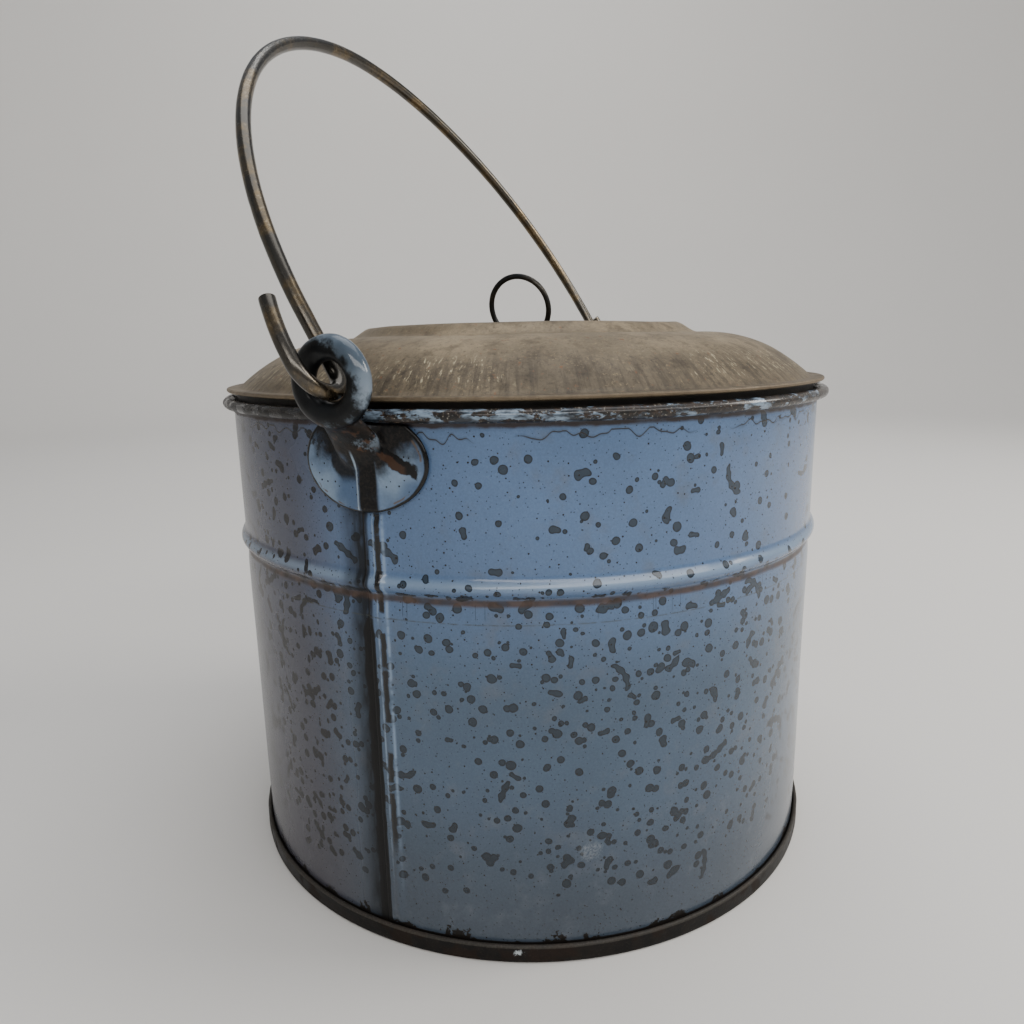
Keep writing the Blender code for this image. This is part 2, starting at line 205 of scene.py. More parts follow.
class Finish:
    """One material and the nodes that make it."""

    def __init__(self, name, **constants):
        self.material = bpy.data.materials.new(name)
        self.material.use_nodes = True
        self.tree = self.material.node_tree
        self.shader = self.tree.nodes["Principled BSDF"]
        for socket, value in constants.items():
            self.shader.inputs[socket.replace("_", " ")].default_value = value
        self.spot = self.node("ShaderNodeTexCoord").output("Object")
        parts = self.node("ShaderNodeSeparateXYZ", inputs={0: self.spot})
        self.x = parts * 1000
        self.y = parts.output("Y") * 1000
        self.z = parts.output("Z") * 1000

    def node(self, kind, settings=None, inputs=None, output=0):
        made = self.tree.nodes.new(kind)
        for key, value in (settings or {}).items():
            setattr(made, key, value)
        for key, value in (inputs or {}).items():
            if isinstance(value, Value):
                self.tree.links.new(value.socket, made.inputs[key])
            else:
                made.inputs[key].default_value = value
        return Value(self, made.outputs[output])

    def point(self, x, y, z=0.0):
        return self.node("ShaderNodeCombineXYZ", inputs={0: x, 1: y, 2: z})

    def vector(self, operation, *inputs):
        return self.node("ShaderNodeVectorMath", {"operation": operation}, dict(enumerate(inputs)))

    def radius(self):
        """Distance from the pail's axis."""
        return (self.x * self.x + self.y * self.y).math("SQRT")

    def right_of_seam(self):
        """Way round the wall from the near side seam, above zero to its right."""
        return (-self.y).math("ARCTAN2", -self.x) * (WALL_R / MM)

    def grain(self, where, scale, detail=2.0, roughness=0.5):
        """Noise from 0 to 1 at a point in mm; scale is in cycles per mm."""
        inputs = {"Vector": where, "Scale": scale, "Detail": detail, "Roughness": roughness}
        return self.node("ShaderNodeTexNoise", {}, inputs)

    def blend(self, share, first, second):
        first = (*first, 1.0) if isinstance(first, tuple) else first
        second = (*second, 1.0) if isinstance(second, tuple) else second
        return self.node("ShaderNodeMix", {"data_type": "RGBA"}, {0: share, 6: first, 7: second}, 2)

    def shade(self, colour, factor):
        """A colour made lighter or darker by a value."""
        grey = self.node("ShaderNodeCombineColor", inputs={0: factor, 1: factor, 2: factor})
        settings = {"data_type": "RGBA", "blend_type": "MULTIPLY"}
        return self.node("ShaderNodeMix", settings, {0: 1.0, 6: colour, 7: grey}, 2)

    def feed(self, socket, value):
        self.tree.links.new(value.socket, self.shader.inputs[socket])

    def emboss(self, height, depth):
        """height from 0 to 1 stands for depth metres."""
        bump = self.node("ShaderNodeBump", {}, {"Height": height, "Distance": depth})
        self.feed("Normal", bump)


def shade_of(red, green, blue):
    """Linear colour of a swatch given in the usual 0 to 255 steps."""
    return tuple(((c / 255 + 0.055) / 1.055) ** 2.4 if c > 10 else c / 3295 for c in (red, green, blue))


def drops(f, where, cell, shift, size, length=0.0, curl=0.0, beads=0.0, keep=0.7):
    """Scattered drops, one at most to a cell: round, or run out along a bent line with beads in it.

    The result is the depth inside a drop's edge, in mm like every size here. keep is the share of
    cells that hold a drop, or a function of the cell's place.
    """
    moved = f.vector("MULTIPLY_ADD", where, (1 / cell,) * 3, (shift, shift * 1.7, 0))
    found = f.node("ShaderNodeTexVoronoi", {"voronoi_dimensions": "2D"},
                   {"Vector": moved, "Scale": 1.0, "Randomness": 0.45 if length > 2 else 0.85})
    chance = f.node("ShaderNodeSeparateColor", inputs={0: found.output("Color")})
    reach = size * (0.62 + 0.62 * chance.output("Green"))
    if callable(keep):
        keep = keep(f, found.output("Position"), cell, shift)
    there = 9 * chance.output("Blue").math("LESS_THAN", keep) - 9
    if not length:
        return reach - found * cell + there
    off = f.vector("SUBTRACT", moved, found.output("Position"))
    off = f.node("ShaderNodeSeparateXYZ", inputs={0: off})
    across, up = off * cell, off.output("Y") * cell
    turn = chance * math.tau
    cos, sin = turn.math("COSINE"), turn.math("SINE")
    along = across * cos + up * sin
    side = up * cos - across * sin
    odd = (chance.output("Green") * 37.3 + chance * 11.7).math("FRACT")
    half = length * (0.15 + odd)
    bend = (chance.output("Blue") * 57.1 + chance * 5.3).math("FRACT") - 0.5
    side = side + bend * curl * along * along
    past = (abs(along) - half).highest(0.0)
    far = (past * past + side * side).math("SQRT")
    reach = reach * (1 + beads * (along * (2.1 / size) + odd * 6).math("COSINE"))
    return reach - far + there


def dots(f, where, cell, shift, size, keep, soft=0.06):
    """Scattered round dots as a mask from 0 to 1."""
    return drops(f, where, cell, shift, size, keep=keep).fade(-soft, soft)


# ---------------------------------------------------------------- mesh helpers

def wave(point, scale, seed=0.0):
    """Smooth noise from -1 to 1; scale in cycles per metre."""
    return noise.noise(Vector(point) * scale + Vector((seed, seed * 2.3, -seed)))


def ease(t):
    t = min(max(t, 0.0), 1.0)
    return t * t * (3 - 2 * t)


def mesh_of(name, bm):
    mesh = bpy.data.meshes.new(name)
    bm.to_mesh(mesh)
    bm.free()
    return mesh


def new_object(name, data):
    obj = bpy.data.objects.new(name, data)
    bpy.context.scene.collection.objects.link(obj)
    return obj


def shape_of(obj):
    """The shape of a working object with its modifiers, as a bmesh; the object goes."""
    mesh = bpy.data.meshes.new_from_object(obj.evaluated_get(bpy.context.evaluated_depsgraph_get()))
    bpy.data.objects.remove(obj)
    bm = bmesh.new()
    bm.from_mesh(mesh)
    bpy.data.meshes.remove(mesh)
    return bm


def add_piece(name, bm, body, finish, replaces=(), sharp=40):
    mesh = mesh_of(name, bm)
    mesh.shade_smooth()
    mesh.set_sharp_from_angle(angle=math.radians(sharp))
    mesh.materials.append(finish.material)
    obj = new_object(name, mesh)
    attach(obj, body)
    if replaces:
        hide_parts(*replaces)
    return obj


def round_off(bm, edges, width):
    bmesh.ops.bevel(bm, geom=edges, offset=width, segments=2, profile=0.5, affect="EDGES",
                    material=-1)


def arc(centre, radius, start, end, steps, squash=1.0):
    turns = [start + (end - start) * step / steps for step in range(steps + 1)]
    return [(centre[0] + radius * squash * math.cos(t), centre[1] + radius * math.sin(t)) for t in turns]


def line(start, end, steps):
    """Points from start towards end, without end."""
    return [tuple(a + (b - a) * step / steps for a, b in zip(start, end)) for step in range(steps)]


def turned(profile, steps, closed, axis=(0, 0, 1), centre=(0, 0, 0)):
    """A profile of (x, z) points turned once round an axis."""
    bm = bmesh.new()
    verts = [bm.verts.new((x, 0, z)) for x, z in profile]
    edges = [bm.edges.new(pair) for pair in zip(verts, verts[1:])]
    if closed:
        edges.append(bm.edges.new((verts[-1], verts[0])))
    bmesh.ops.spin(bm, geom=verts + edges, axis=axis, cent=centre, angle=math.tau, steps=steps,
                   use_merge=True)
    bmesh.ops.remove_doubles(bm, verts=bm.verts, dist=1e-7)
    bmesh.ops.recalc_face_normals(bm, faces=bm.faces)
    return bm


# ---------------------------------------------------------------- wall

def bead_rise(z):
    """How far the swaged bead, its groove and the crease below stand out of the wall."""
    up = z - BEAD_Z
    reach = BEAD_UPPER if up > 0 else BEAD_LOWER
    rise = BEAD_RISE * math.cos(min(abs(up) / reach, 1) * math.pi / 2) ** 2
    groove = -0.38 * MM * ease((BEAD_Z - z) / BEAD_LOWER - 0.2) * ease((z - CREASE_Z) / (6.2 * MM))
    return rise + groove


def seam_rise(s, z):
    """The folded side seam: a sharp step on its left, a crest, and a soft fall to the right."""
    s = s / MM
    step = ease((s + 1.3) / 0.45)
    crest = 0.62 + 0.3 * math.exp(-(((s - 2.7) / 0.9) ** 2))
    fall = 1 - ease((s - 3.0) / 2.4)
    groove = -0.18 * math.exp(-(((s + 1.75) / 0.5) ** 2))
    ends = ease((z - PAN_HIGH.z - 0.1 * MM) / (0.6 * MM)) * ease((SEAM_TOP - z) / (0.5 * MM))
    return (step * crest * fall + groove) * MM * ends


def make_wall(finish):
    inner_r = WALL_R - WALL_T
    foot = WALL_LOW.z
    heights = [foot + (CREASE_Z - 1.5 * MM - foot) * i / 44 for i in range(44)]
    crease = CREASE_Z - 1.5 * MM
    heights += [crease + (BEAD_Z + 5 * MM - crease) * i / 44 for i in range(44)]
    above = BEAD_Z + 5 * MM
    heights += [above + (RIM_BOTTOM - above) * i / 22 for i in range(23)]
    outside = [(WALL_R, z) for z in heights]
    inside = [(inner_r, z) for z in heights[::-3]]
    inside += [(inner_r, foot)]
    roll = arc((RIM_R, RIM_Z), RIM_ROLL_R, -math.radians(110), math.pi, 24)
    bore = arc((RIM_R, RIM_Z), RIM_BORE, math.pi, -math.radians(110), 12)
    bm = turned(outside + bore + roll + inside, 320, closed=True)
    mean_r = (WALL_R + inner_r) / 2
    middle = math.pi + SEAM_OFFSET / WALL_R
    for v in bm.verts:
        r = math.hypot(v.co.x, v.co.y)
        turn = math.atan2(v.co.y, v.co.x) - middle
        turn = (turn + math.pi) % math.tau - math.pi
        turn = middle + turn - 0.85 * math.sin(turn)
        s = (turn % math.tau - math.pi) * WALL_R
        ring = Vector((math.cos(turn), math.sin(turn), 0))
        z = v.co.z
        place = ring * WALL_R + Vector((0, 0, z))
        if z < RIM_BOTTOM + 0.01 * MM:
            held = ease((z - 8 * MM) / (10 * MM)) * ease((RIM_BOTTOM - z) / (12 * MM))
            dent = (0.16 * wave(place, 22, 3) + 0.05 * wave(place, 60, 9)) * MM * held
            r += bead_rise(z) + dent
            if r > mean_r + bead_rise(z) and abs(s) < 9 * MM:
                r += seam_rise(s, z)
        else:
            out = Vector((r - RIM_R, z - RIM_Z))
            lumps = 0.10 * wave(place, 260, 5) + 0.10 * wave(place, 90, 1) + 0.05 * wave(place, 700, 8)
            if out.length > RIM_ROLL_R - 0.1 * MM:
                out *= 1 + lumps * MM / RIM_ROLL_R - 0.03
            r, z = RIM_R + out.x, RIM_Z + out.y
        v.co = ring * r + Vector((0, 0, z))
    return add_piece("pail_wall", bm, "pail", finish, ["body_wall"])


# ---------------------------------------------------------------- bottom pan

def make_bottom(finish):
    inner_face = WALL_R - WALL_T - 0.3 * MM
    t = 0.6 * MM
    floor = 5.0 * MM
    slot = WALL_R + 0.3 * MM
    outer = PAN_HIGH.y
    top = PAN_HIGH.z
    chuck = inner_face - t
    r = 0.45 * MM
    profile = line((0, floor), (inner_face - 2 * MM, floor), 12)
    profile += [(inner_face - 2 * MM, floor), (inner_face - 0.6 * MM, floor - 0.05 * MM)]
    profile += arc((inner_face - 0.4 * MM, floor - 0.4 * MM), 0.4 * MM, math.pi / 2, 0, 4)
    profile += line((inner_face, floor - 0.5 * MM), (inner_face, t), 5) + [(inner_face, t), (slot, t)]
    profile += line((slot, t), (slot, top - r), 5)[1:]
    mid = (slot + outer) / 2
    profile += arc((mid, top - (outer - slot) / 2), (outer - slot) / 2, math.pi, 0, 10)
    profile += line((outer, top - (outer - slot) / 2), (outer, r), 5)[1:]
    profile += arc((outer - r, r), r, 0, -math.pi / 2, 5)
    profile += line((outer - r, 0), (chuck + r, 0), 3)[1:]
    profile += arc((chuck + r, r), r, -math.pi / 2, -math.pi, 4)
    profile += line((chuck, r), (chuck, floor - t - r), 5)[1:]
    profile += arc((chuck - r, floor - t - r), r, 0, math.pi / 2, 4)
    profile += line((chuck - r, floor - t), (0, floor - t), 12)[1:] + [(0, floor - t)]
    bm = turned(profile, 288, closed=False)
    for v in bm.verts:
        r_now = math.hypot(v.co.x, v.co.y)
        if r_now > outer - 0.5 * MM and v.co.z > 0.3 * MM:
            push = 0.09 * wave(v.co, 150, 4) + 0.05 * wave(v.co, 420, 6) - 0.02
            v.co.xy *= 1 + push * MM / r_now
            if v.co.z > top - 0.9 * MM:
                v.co.z += 0.12 * MM * wave(v.co, 210, 2)
        elif r_now < 90 * MM:
            v.co.z += 0.25 * MM * wave(v.co, 28, 7) * ease((90 * MM - r_now) / (12 * MM))
    return add_piece("bottom_pan_enamelled", bm, "pail", finish, ["bottom_pan"])


# ---------------------------------------------------------------- ears

def plate_rise(a):
    """The plate pressed over the side seam, in mm; a runs round the wall from the ear's middle."""
    step = ease((a + 1.3) / 0.7)
    fall = 1 - ease((a - 4.0) / 1.8)
    return 0.75 * step * fall


def make_plate(side, with_seam):
    half_t = EAR_T / 2
    edge = 0.35 * MM
    wide = EAR_WIDTH / 2
    profile = line((half_t, 0), (half_t, wide - edge), 30)
    profile += [(half_t - edge + edge * math.cos(t), wide - edge + edge * math.sin(t))
                for t in (0, math.pi / 4, math.pi / 2)]
    profile += [(-x, r) for x, r in profile[::-1]]
    bm = turned(profile, 120, closed=False, axis=(1, 0, 0))
    tall = EAR_HEIGHT / EAR_WIDTH
    middle = EAR_LOW.z + EAR_HEIGHT / 2
    top = RIM_BOTTOM - 0.3 * MM
    for v in bm.verts:
        v.co.z = middle + v.co.z * tall
    cut = bmesh.ops.bisect_plane(bm, geom=bm.verts[:] + bm.edges[:] + bm.faces[:], plane_co=(0, 0, top),
                                 plane_no=(0, 0, 1), clear_outer=True)
    edges = [e for e in cut["geom_cut"] if isinstance(e, bmesh.types.BMEdge)]
    bmesh.ops.contextual_create(bm, geom=edges)
    for v in bm.verts:
        a, z, depth = v.co.y, v.co.z, v.co.x
        r = WALL_R + 0.3 * MM + half_t + depth
        lift = 0.0
        if depth > 0:
            if with_seam:
                lift += plate_rise(a / MM) * ease((z - EAR_LOW.z) / (1.2 * MM))
            near = math.hypot(a / (9 * MM), (top - z) / (9 * MM))
            lift += 1.3 * ease(1.15 - near)
            lift += 0.12 * wave((a, z, side), 160, 2)
        turn = a / WALL_R
        r = side * (r + lift * MM)
        v.co = Vector((r * math.cos(turn), r * math.sin(turn), z))
    return bm


def loft(bm, path, widths, depths, segments=28):
    """Ovals along a path in the XZ plane, joined into a closed bar."""
    rings = []
    last = len(path) - 1
    for i, (point, width, depth) in enumerate(zip(path, widths, depths)):
        along = (path[min(i + 1, last)] - path[max(i - 1, 0)]).normalized()
        across = Vector((along.z, 0, -along.x))
        turn = Matrix((across, Vector((0, 1, 0)), along)).transposed().to_4x4()
        place = Matrix.Translation(point) @ turn @ Matrix.Diagonal((depth / 2, width / 2, 1, 1))
        made = bmesh.ops.create_circle(bm, cap_ends=i in (0, last), radius=1, segments=segments,
                                       matrix=place)
        ours = set(made["verts"])
        rings.append([e for e in bm.edges if e.verts[0] in ours and e.verts[1] in ours])
    for lower, upper in zip(rings, rings[1:]):
        bmesh.ops.bridge_loops(bm, edges=lower + upper)


def spline(points, steps):
    """A smooth curve through points, as lists of numbers of any length."""
    out = []
    for i in range(len(points) - 1):
        p = [points[max(i - 1, 0)], points[i], points[i + 1], points[min(i + 2, len(points) - 1)]]
        for step in range(steps):
            t = step / steps
            out.append([0.5 * (2 * b + (c - a) * t + (2 * a - 5 * b + 4 * c - d) * t * t
                               + (3 * b - a - 3 * c + d) * t * t * t) for a, b, c, d in zip(*p)])
    return out + [list(points[-1])]


def make_ear(name, side, finish, with_seam):
    bm = make_plate(side, with_seam)
    eye_x = abs(EYE_X)
    eye_foot = EYE_Z - EYE_R
    rows = [  # x, z, width, depth of the neck, in mm, from the plate up into the eye
        (WALL_R / MM + 1.0, RIM_BOTTOM / MM - 11.0, 9.0, 1.6),
        (WALL_R / MM + 1.9, RIM_BOTTOM / MM - 7.5, 13.0, 2.6),
        (WALL_R / MM + 3.6, RIM_BOTTOM / MM - 3.6, 14.0, 3.6),
        (WALL_R / MM + 6.4, RIM_BOTTOM / MM - 0.6, 12.0, 3.9),
        (eye_x / MM - 1.4, eye_foot / MM - 0.6, 9.5, 4.6),
        (eye_x / MM - 0.3, eye_foot / MM + 1.2, 8.0, 4.2),
    ]
    rows = spline(rows, 4)
    path = [Vector((side * x * MM, 0, z * MM)) for x, z, _, _ in rows]
    loft(bm, path, [row[2] * MM for row in rows], [row[3] * MM for row in rows])
    bar = arc((side * eye_x, EYE_Z + EYE_R), EYE_BAR / 2, 0, math.tau, 24, EYE_DEPTH / EYE_BAR)[:-1]
    eye = turned(bar, 72, closed=True, axis=(1, 0, 0), centre=(side * eye_x, 0, EYE_Z))
    lump = mesh_of("eye", eye)
    bm.from_mesh(lump)
    bpy.data.meshes.remove(lump)
    bmesh.ops.recalc_face_normals(bm, faces=bm.faces)
    rough = mesh_of("rough_ear", bm)
    shell = new_object("rough_ear", rough)
    remesh = shell.modifiers.new("skin", "REMESH")
    remesh.mode = "VOXEL"
    remesh.voxel_size = 0.34 * MM
    bm = shape_of(shell)
    bpy.data.meshes.remove(rough)
    for _ in range(3):
        bmesh.ops.smooth_vert(bm, verts=bm.verts, factor=0.5, use_axis_x=True, use_axis_y=True,
                              use_axis_z=True)
    for v in bm.verts:
        r = math.hypot(v.co.x, v.co.y)
        loose = ease((r - WALL_R - 1.2 * MM) / (2 * MM))
        swell = 0.16 * wave(v.co, 150, 11 + side) + 0.07 * wave(v.co, 420, 4)
        v.co += v.normal * swell * MM * loose
    return add_piece(name, bm, "pail", finish, [name.replace("_enamelled", "")], sharp=60)


# ---------------------------------------------------------------- wires

def tube(name, points, radius, cyclic, place, sides=24):
    """A round wire along points, as a bmesh with closed ends."""
    curve = bpy.data.curves.new(name, "CURVE")
    curve.dimensions = "3D"
    curve.bevel_depth = radius
    curve.bevel_resolution = sides // 2 - 2
    curve.use_fill_caps = not cyclic
    run = curve.splines.new("POLY")
    run.points.add(len(points) - 1)
    for target, point in zip(run.points, points):
        target.co = (*point, 1)
    run.use_cyclic_u = cyclic
    bm = shape_of(new_object(name, curve))
    bpy.data.curves.remove(curve)
    bmesh.ops.remove_doubles(bm, verts=bm.verts, dist=1e-6)
    if not cyclic:
        caps = [f for f in bm.faces if len(f.verts) > 4]
        rims = [e for f in caps for e in f.edges]
        round_off(bm, rims, 0.3 * MM)
    bmesh.ops.recalc_face_normals(bm, faces=bm.faces)
    bmesh.ops.transform(bm, matrix=place, verts=bm.verts)
    return bm


def bail_half():
    """Centreline from the top of the bow to the hook's end: (distance from the middle, height)."""
    points = []
    for step in range(61):
        share = math.sin(math.pi / 2 * step / 60)
        height = max(1 - share**BOW_POWER, 0.0) ** 0.5
        points.append((BAIL_X * share, BAIL_STRAIGHT + BAIL_BOW * height))
    turn_in = abs(EYE_X) - BAIL_X
    points += line(points.pop(), (BAIL_X, turn_in), 8)
    points += arc((abs(EYE_X), turn_in), turn_in, math.pi, 1.5 * math.pi, 12)
    points += arc((abs(EYE_X), HOOK_REACH), HOOK_REACH, -math.pi / 2, 0, 14)[1:]
    for step in range(1, 13):
        t = step / 12
        height = HOOK_REACH + (HOOK_HEIGHT - HOOK_REACH) * t
        points.append((abs(EYE_X) + HOOK_REACH - HOOK_CLOSE * t**2, height))
    return points


def make_bail(finish):
    half = bail_half()
    centre = [(-x, 0, z) for x, z in half[::-1]] + [(x, 0, z) for x, z in half[1:]]
    place = Matrix.Translation((0, 0, PIVOT_Z)) @ Matrix.Rotation(-BAIL_LEAN, 4, "X")
    bm = tube("bail_wire", centre, BAIL_WIRE_R, False, place)
    for v in bm.verts:
        v.co += v.normal * 0.05 * MM * wave(v.co, 240, 3)
    return add_piece("bail_wire", bm, "bail", finish, ["bail"])


def make_ring(finish):
    reach = RING_R - RING_CORNER_R
    drop = RING_CENTRE_RISE - RING_CORNER_R
    corner_y = math.sqrt(reach**2 - drop**2)
    slope = -math.atan2(drop, corner_y)
    big = arc((0, RING_CENTRE_RISE), RING_R, slope, math.pi - slope, 72)
    left = arc((-corner_y, RING_CORNER_R), RING_CORNER_R, math.pi - slope, 1.5 * math.pi, 8)
    right = arc((corner_y, RING_CORNER_R), RING_CORNER_R, -math.pi / 2, slope, 8)
    points = [(0, y, z) for y, z in big + left[1:] + right[:-1]]
    place = Matrix.Translation((0, 0, RING_PIVOT_Z)) @ Matrix.Rotation(-RING_LEAN, 4, "Y")
    bm = tube("ring_wire", points, RING_WIRE_R, True, place, sides=20)
    return add_piece("lid_ring", bm, "ring", finish, ["ring_handle"])


def make_strap(finish):
    thick = 0.5 * MM
    bore = RING_WIRE_R + 0.3 * MM
    low, end = STRAP_LOW.z, STRAP_HIGH.x
    width = STRAP_HIGH.y * 2
    over = arc((0, RING_PIVOT_Z), bore + thick, math.pi, 0, 20)
    under = arc((0, RING_PIVOT_Z), bore, 0, math.pi, 20)
    outline = line((-end, low + thick), (-bore - thick, low + thick), 6) + over
    outline += line((bore + thick, low + thick), (end, low + thick), 6)[1:]
    outline += [(end, low + thick), (end, low)] + line((end, low), (bore, low), 6)[1:]
    outline += under + line((-bore, low), (-end, low), 6)[1:]
    outline += [(-end, low)]
    bm = bmesh.new()
    section = bm.faces.new([bm.verts.new((x, -width / 2, z)) for x, z in outline])
    grown = bmesh.ops.extrude_face_region(bm, geom=[section])["geom"]
    far_side = [v for v in grown if isinstance(v, bmesh.types.BMVert)]
    bmesh.ops.translate(bm, vec=(0, width, 0), verts=far_side)
    bmesh.ops.recalc_face_normals(bm, faces=bm.faces)
    rims = [e for e in bm.edges if e.calc_face_angle(0) > math.radians(50)]
    round_off(bm, rims, 0.12 * MM)
    bmesh.ops.triangulate(bm, faces=[f for f in bm.faces if len(f.verts) > 4])
    return add_piece("lid_ring_strap", bm, "lid", finish, ["ring_strap"])


# ---------------------------------------------------------------- lid

def lid_height(r):
    """Height of the lid's upper face at a radius inside the flange."""
    if r < DIMPLE_R + DIMPLE_SLOPE:
        return DIMPLE_Z + DIMPLE_DEPTH * ease((r - DIMPLE_R) / DIMPLE_SLOPE + 0.5)
    if r < SHOULDER_R:
        return PLATEAU_Z - PLATEAU_RISE * ease((r - PLATEAU_R) / (SHOULDER_R - PLATEAU_R))
    t = min((r - SHOULDER_R) / (DOME_R - SHOULDER_R), 1)
    return SHOULDER_Z - DOME_RISE * t**DOME_POWER


def make_lid(finish):
    radii = [12 * MM * i / 6 for i in range(6)] + [12 * MM + 10 * MM * i / 14 for i in range(14)]
    radii += [22 * MM + 27 * MM * i / 12 for i in range(12)]
    radii += [49 * MM + 11 * MM * i / 14 for i in range(14)]
    radii += [60 * MM + (DOME_R - 60 * MM) * i / 26 for i in range(27)]
    top = [(r, lid_height(r)) for r in radii]
    fold = HEM_T / 2
    under = [(r, z - LID_T) for r, z in top[::-1]]
    flange = line((DOME_R + 0.5 * MM, FLANGE_TOP - 0.04 * MM), (LID_R - fold, FLANGE_TOP), 4)
    hem = arc((LID_R - fold, HEM_Z + fold), fold, math.pi / 2, -math.pi / 2, 10)
    inner = [(HEM_INNER_R + 0.15 * MM, HEM_Z), (HEM_INNER_R, HEM_Z + 0.15 * MM),
             (HEM_INNER_R, FLANGE_TOP - LID_T)]
    bm = turned(top + flange + hem + inner + under, 288, closed=False)
    for v in bm.verts:
        r = math.hypot(v.co.x, v.co.y)
        held = ease((DOME_R - r) / (14 * MM)) * (0.25 + 0.75 * ease((r - 24 * MM) / (20 * MM)))
        flat = (v.co.x, v.co.y, 0)
        v.co.z += (0.45 * wave(flat, 30, 6) + 0.12 * wave(flat, 90, 2)) * MM * held
        if r > DOME_R:
            v.co.z += 0.12 * MM * wave(flat, 45, 5)
    return add_piece("lid_tin_cover", bm, "lid", finish, ["lid_cover"])


def make_collar(finish):
    outer = WALL_R - WALL_T - 0.5 * MM
    inner = outer - 0.6 * MM
    low, top = COLLAR_LOW.z, COLLAR_HIGH.z
    profile = [(inner, low + 0.3 * MM), (inner + 0.3 * MM, low), (outer - 0.25 * MM, low + 0.05 * MM)]
    profile += line((outer, low + 0.5 * MM), (outer, top - 0.6 * MM), 6)
    profile += [(outer, top - 0.6 * MM), (COLLAR_HIGH.y, top - 0.5 * MM), (COLLAR_HIGH.y, top)]
    profile += [(inner, top)]
    profile += line((inner, top), (inner, low + 0.3 * MM), 6)[1:]
    bm = turned(profile, 192, closed=True)
    return add_piece("lid_slip_collar", bm, "lid", finish, ["lid_collar"])


# ---------------------------------------------------------------- finishes

ENAMEL = shade_of(86, 110, 144)
# darker tones that paint shade lower down the wall
ENAMEL_LOW_SHADED = shade_of(70, 88, 108)
ENAMEL_FOOT_SHADED = shade_of(62, 72, 84)
SPOT = shade_of(36, 48, 59)
SPOT_EDGE = shade_of(15, 21, 28)
SOOT = shade_of(14, 17, 21)
BLACK = shade_of(9, 9, 10)
REFLECTED_BROWN = shade_of(46, 34, 26)
CHIP = shade_of(188, 196, 200)


def wall_share(f, place, cell, shift):
    """Share of drops kept at a place: few by the rim, none by the foot, thick at the sides."""
    back = f.vector("MULTIPLY_ADD", place, (cell,) * 3, (-shift * cell, -shift * cell * 1.7, 0))
    parts = f.node("ShaderNodeSeparateXYZ", inputs={0: back})
    up = parts.output("Y")
    along = abs(parts)
    patch = f.grain(back, 0.045, 1.0).fade(0.26, 0.52)
    low = up.fade(15, 24)
    high = 1 - 0.66 * up.fade(96, 102)
    calm = 1 - 0.7 * along.between(266, 290, 8) * parts.below(0)
    bead = 0.5 * up.between(BEAD_Z / MM - 3.2, BEAD_Z / MM + 1.2, 0.8)
    bead = bead + 0.35 * up.between(CREASE_Z / MM - 7, CREASE_Z / MM - 0.5, 0.8)
    thick = 0.5 * parts.between(180, 286, 8) * low
    return patch * 0.85 * low * high * calm + 0.2 * low * high + bead + thick


def run_share(f, place, cell, shift):
    """Long runs are half as common as drops."""
    return wall_share(f, place, cell, shift) * 0.5


